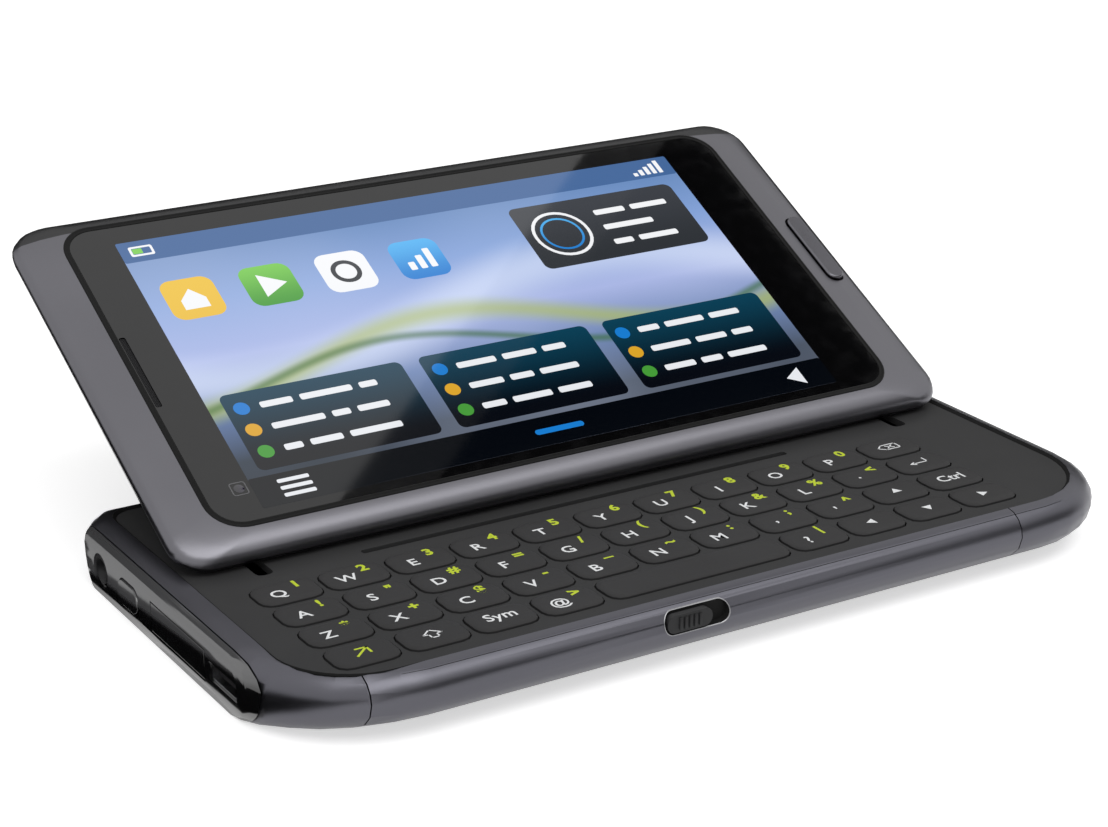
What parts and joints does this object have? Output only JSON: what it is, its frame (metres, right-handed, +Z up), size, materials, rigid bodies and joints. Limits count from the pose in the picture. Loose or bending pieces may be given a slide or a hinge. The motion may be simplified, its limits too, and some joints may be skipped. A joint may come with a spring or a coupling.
{
  "type": "slider phone",
  "caption": "Slider phone opened: the touch screen half swings up on two arms and leans over a full letter keyboard in a slim metal base.",
  "frame": {"origin": "middle of the flat underside of the keyboard base, on the surface it rests on", "axes": "+X along the long side with the socket end at -X, -Y the long side that faces the user, +Z up"},
  "size_m": [0.124, 0.0932, 0.0387],
  "materials": {
    "housing_metal": "dark grey anodised aluminium with a fine matte blast",
    "lid_metal": "dark grey anodised aluminium with a fine matte blast",
    "home_metal": "dark anodised metal, slightly polished edge",
    "port_gloss": "piano black moulded plastic",
    "slider_grip": "dark ribbed plastic",
    "deck_black": "soft matte charcoal plastic",
    "key_cap": "matte charcoal keycap",
    "key_rubber": "silicone membrane",
    "hinge_steel": "satin stainless steel",
    "circuit_board": "green solder resist",
    "battery_wrap": "grey wrapped cell",
    "screen_glass": "black bordered cover glass",
    "screen_panel": "lit screen panel"
  },
  "bodies": {
    "base": {"base_shell": "housing_metal", "port_end_cap": "housing_metal", "plain_end_cap": "housing_metal", "port_panel": "port_gloss", "hinge_plate": "hinge_steel", "main_board": "circuit_board", "battery": "battery_wrap", "keyboard_deck": "deck_black", "key_mat": "key_rubber"},
    "arms": {"tilt_frame": "hinge_steel"},
    "lid": {"lid_shell": "lid_metal", "display_glass": "screen_glass", "display_panel": "screen_panel"},
    "home_button": {"home_key": "home_metal"},
    "power_switch": {"power_button": "port_gloss"},
    "video_flap": {"port_cover": "port_gloss"},
    "lock_thumb": {"lock_slider": "slider_grip"},
    "volume_thumb": {"volume_slider": "slider_grip"},
    "keycap_q": {"key_q": "key_cap"},
    "keycap_w": {"key_w": "key_cap"},
    "keycap_e": {"key_e": "key_cap"},
    "keycap_r": {"key_r": "key_cap"},
    "keycap_t": {"key_t": "key_cap"},
    "keycap_y": {"key_y": "key_cap"},
    "keycap_u": {"key_u": "key_cap"},
    "keycap_i": {"key_i": "key_cap"},
    "keycap_o": {"key_o": "key_cap"},
    "keycap_p": {"key_p": "key_cap"},
    "keycap_backspace": {"key_backspace": "key_cap"},
    "keycap_a": {"key_a": "key_cap"},
    "keycap_s": {"key_s": "key_cap"},
    "keycap_d": {"key_d": "key_cap"},
    "keycap_f": {"key_f": "key_cap"},
    "keycap_g": {"key_g": "key_cap"},
    "keycap_h": {"key_h": "key_cap"},
    "keycap_j": {"key_j": "key_cap"},
    "keycap_k": {"key_k": "key_cap"},
    "keycap_l": {"key_l": "key_cap"},
    "keycap_period": {"key_period": "key_cap"},
    "keycap_enter": {"key_enter": "key_cap"},
    "keycap_z": {"key_z": "key_cap"},
    "keycap_x": {"key_x": "key_cap"},
    "keycap_c": {"key_c": "key_cap"},
    "keycap_v": {"key_v": "key_cap"},
    "keycap_b": {"key_b": "key_cap"},
    "keycap_n": {"key_n": "key_cap"},
    "keycap_m": {"key_m": "key_cap"},
    "keycap_comma": {"key_comma": "key_cap"},
    "keycap_apostrophe": {"key_apostrophe": "key_cap"},
    "keycap_up": {"key_up": "key_cap"},
    "keycap_ctrl": {"key_ctrl": "key_cap"},
    "keycap_fn": {"key_fn": "key_cap"},
    "keycap_shift": {"key_shift": "key_cap"},
    "keycap_sym": {"key_sym": "key_cap"},
    "keycap_at": {"key_at": "key_cap"},
    "keycap_space": {"key_space": "key_cap"},
    "keycap_question": {"key_question": "key_cap"},
    "keycap_left": {"key_left": "key_cap"},
    "keycap_down": {"key_down": "key_cap"},
    "keycap_right": {"key_right": "key_cap"}
  },
  "joints": [
    {"name": "arms_swing", "type": "hinge", "parent": "base", "child": "arms", "pos_m": [0, 0.02548, 0.005], "axis": [1, 0, 0], "range_deg": [0, 110.1]},
    {"name": "lid_turn", "type": "hinge", "parent": "arms", "child": "lid", "pos_m": [0, 0.03727, 0.02355], "axis": [1, 0, 0], "range_deg": [-137.12, 0]},
    {"name": "home_press", "type": "slide", "parent": "lid", "child": "home_button", "axis": [0, 0.454, -0.891], "range_m": [0, 0.0003], "stiffness_N_per_m": 5500},
    {"name": "power_press", "type": "slide", "parent": "base", "child": "power_switch", "axis": [1, 0, 0], "range_m": [0, 0.0003], "stiffness_N_per_m": 5500},
    {"name": "video_flap_hinge", "type": "hinge", "parent": "base", "child": "video_flap", "pos_m": [-0.0615, 0.0006, 0.00165], "axis": [0, -1, 0], "range_deg": [0, 90]},
    {"name": "lock_slide", "type": "slide", "parent": "base", "child": "lock_thumb", "axis": [1, 0, 0], "range_m": [0, 0.0024], "stiffness_N_per_m": 550},
    {"name": "volume_slide", "type": "slide", "parent": "base", "child": "volume_thumb", "axis": [1, 0, 0], "range_m": [-0.0016, 0.0016], "stiffness_N_per_m": 650},
    {"name": "press_q", "type": "slide", "parent": "base", "child": "keycap_q", "axis": [0, 0, -1], "range_m": [0, 0.0003], "stiffness_N_per_m": 5500},
    {"name": "press_w", "type": "slide", "parent": "base", "child": "keycap_w", "axis": [0, 0, -1], "range_m": [0, 0.0003], "stiffness_N_per_m": 5500},
    {"name": "press_e", "type": "slide", "parent": "base", "child": "keycap_e", "axis": [0, 0, -1], "range_m": [0, 0.0003], "stiffness_N_per_m": 5500},
    {"name": "press_r", "type": "slide", "parent": "base", "child": "keycap_r", "axis": [0, 0, -1], "range_m": [0, 0.0003], "stiffness_N_per_m": 5500},
    {"name": "press_t", "type": "slide", "parent": "base", "child": "keycap_t", "axis": [0, 0, -1], "range_m": [0, 0.0003], "stiffness_N_per_m": 5500},
    {"name": "press_y", "type": "slide", "parent": "base", "child": "keycap_y", "axis": [0, 0, -1], "range_m": [0, 0.0003], "stiffness_N_per_m": 5500},
    {"name": "press_u", "type": "slide", "parent": "base", "child": "keycap_u", "axis": [0, 0, -1], "range_m": [0, 0.0003], "stiffness_N_per_m": 5500},
    {"name": "press_i", "type": "slide", "parent": "base", "child": "keycap_i", "axis": [0, 0, -1], "range_m": [0, 0.0003], "stiffness_N_per_m": 5500},
    {"name": "press_o", "type": "slide", "parent": "base", "child": "keycap_o", "axis": [0, 0, -1], "range_m": [0, 0.0003], "stiffness_N_per_m": 5500},
    {"name": "press_p", "type": "slide", "parent": "base", "child": "keycap_p", "axis": [0, 0, -1], "range_m": [0, 0.0003], "stiffness_N_per_m": 5500},
    {"name": "press_backspace", "type": "slide", "parent": "base", "child": "keycap_backspace", "axis": [0, 0, -1], "range_m": [0, 0.0003], "stiffness_N_per_m": 5500},
    {"name": "press_a", "type": "slide", "parent": "base", "child": "keycap_a", "axis": [0, 0, -1], "range_m": [0, 0.0003], "stiffness_N_per_m": 5500},
    {"name": "press_s", "type": "slide", "parent": "base", "child": "keycap_s", "axis": [0, 0, -1], "range_m": [0, 0.0003], "stiffness_N_per_m": 5500},
    {"name": "press_d", "type": "slide", "parent": "base", "child": "keycap_d", "axis": [0, 0, -1], "range_m": [0, 0.0003], "stiffness_N_per_m": 5500},
    {"name": "press_f", "type": "slide", "parent": "base", "child": "keycap_f", "axis": [0, 0, -1], "range_m": [0, 0.0003], "stiffness_N_per_m": 5500},
    {"name": "press_g", "type": "slide", "parent": "base", "child": "keycap_g", "axis": [0, 0, -1], "range_m": [0, 0.0003], "stiffness_N_per_m": 5500},
    {"name": "press_h", "type": "slide", "parent": "base", "child": "keycap_h", "axis": [0, 0, -1], "range_m": [0, 0.0003], "stiffness_N_per_m": 5500},
    {"name": "press_j", "type": "slide", "parent": "base", "child": "keycap_j", "axis": [0, 0, -1], "range_m": [0, 0.0003], "stiffness_N_per_m": 5500},
    {"name": "press_k", "type": "slide", "parent": "base", "child": "keycap_k", "axis": [0, 0, -1], "range_m": [0, 0.0003], "stiffness_N_per_m": 5500},
    {"name": "press_l", "type": "slide", "parent": "base", "child": "keycap_l", "axis": [0, 0, -1], "range_m": [0, 0.0003], "stiffness_N_per_m": 5500},
    {"name": "press_period", "type": "slide", "parent": "base", "child": "keycap_period", "axis": [0, 0, -1], "range_m": [0, 0.0003], "stiffness_N_per_m": 5500},
    {"name": "press_enter", "type": "slide", "parent": "base", "child": "keycap_enter", "axis": [0, 0, -1], "range_m": [0, 0.0003], "stiffness_N_per_m": 5500},
    {"name": "press_z", "type": "slide", "parent": "base", "child": "keycap_z", "axis": [0, 0, -1], "range_m": [0, 0.0003], "stiffness_N_per_m": 5500},
    {"name": "press_x", "type": "slide", "parent": "base", "child": "keycap_x", "axis": [0, 0, -1], "range_m": [0, 0.0003], "stiffness_N_per_m": 5500},
    {"name": "press_c", "type": "slide", "parent": "base", "child": "keycap_c", "axis": [0, 0, -1], "range_m": [0, 0.0003], "stiffness_N_per_m": 5500},
    {"name": "press_v", "type": "slide", "parent": "base", "child": "keycap_v", "axis": [0, 0, -1], "range_m": [0, 0.0003], "stiffness_N_per_m": 5500},
    {"name": "press_b", "type": "slide", "parent": "base", "child": "keycap_b", "axis": [0, 0, -1], "range_m": [0, 0.0003], "stiffness_N_per_m": 5500},
    {"name": "press_n", "type": "slide", "parent": "base", "child": "keycap_n", "axis": [0, 0, -1], "range_m": [0, 0.0003], "stiffness_N_per_m": 5500},
    {"name": "press_m", "type": "slide", "parent": "base", "child": "keycap_m", "axis": [0, 0, -1], "range_m": [0, 0.0003], "stiffness_N_per_m": 5500},
    {"name": "press_comma", "type": "slide", "parent": "base", "child": "keycap_comma", "axis": [0, 0, -1], "range_m": [0, 0.0003], "stiffness_N_per_m": 5500},
    {"name": "press_apostrophe", "type": "slide", "parent": "base", "child": "keycap_apostrophe", "axis": [0, 0, -1], "range_m": [0, 0.0003], "stiffness_N_per_m": 5500},
    {"name": "press_up", "type": "slide", "parent": "base", "child": "keycap_up", "axis": [0, 0, -1], "range_m": [0, 0.0003], "stiffness_N_per_m": 5500},
    {"name": "press_ctrl", "type": "slide", "parent": "base", "child": "keycap_ctrl", "axis": [0, 0, -1], "range_m": [0, 0.0003], "stiffness_N_per_m": 5500},
    {"name": "press_fn", "type": "slide", "parent": "base", "child": "keycap_fn", "axis": [0, 0, -1], "range_m": [0, 0.0003], "stiffness_N_per_m": 5500},
    {"name": "press_shift", "type": "slide", "parent": "base", "child": "keycap_shift", "axis": [0, 0, -1], "range_m": [0, 0.0003], "stiffness_N_per_m": 5500},
    {"name": "press_sym", "type": "slide", "parent": "base", "child": "keycap_sym", "axis": [0, 0, -1], "range_m": [0, 0.0003], "stiffness_N_per_m": 5500},
    {"name": "press_at", "type": "slide", "parent": "base", "child": "keycap_at", "axis": [0, 0, -1], "range_m": [0, 0.0003], "stiffness_N_per_m": 5500},
    {"name": "press_space", "type": "slide", "parent": "base", "child": "keycap_space", "axis": [0, 0, -1], "range_m": [0, 0.0003], "stiffness_N_per_m": 5500},
    {"name": "press_question", "type": "slide", "parent": "base", "child": "keycap_question", "axis": [0, 0, -1], "range_m": [0, 0.0003], "stiffness_N_per_m": 5500},
    {"name": "press_left", "type": "slide", "parent": "base", "child": "keycap_left", "axis": [0, 0, -1], "range_m": [0, 0.0003], "stiffness_N_per_m": 5500},
    {"name": "press_down", "type": "slide", "parent": "base", "child": "keycap_down", "axis": [0, 0, -1], "range_m": [0, 0.0003], "stiffness_N_per_m": 5500},
    {"name": "press_right", "type": "slide", "parent": "base", "child": "keycap_right", "axis": [0, 0, -1], "range_m": [0, 0.0003], "stiffness_N_per_m": 5500}
  ],
  "couplings": [
    {"joint": "lid_turn", "follows": "arms_swing", "ratio": -1.2452}
  ]
}
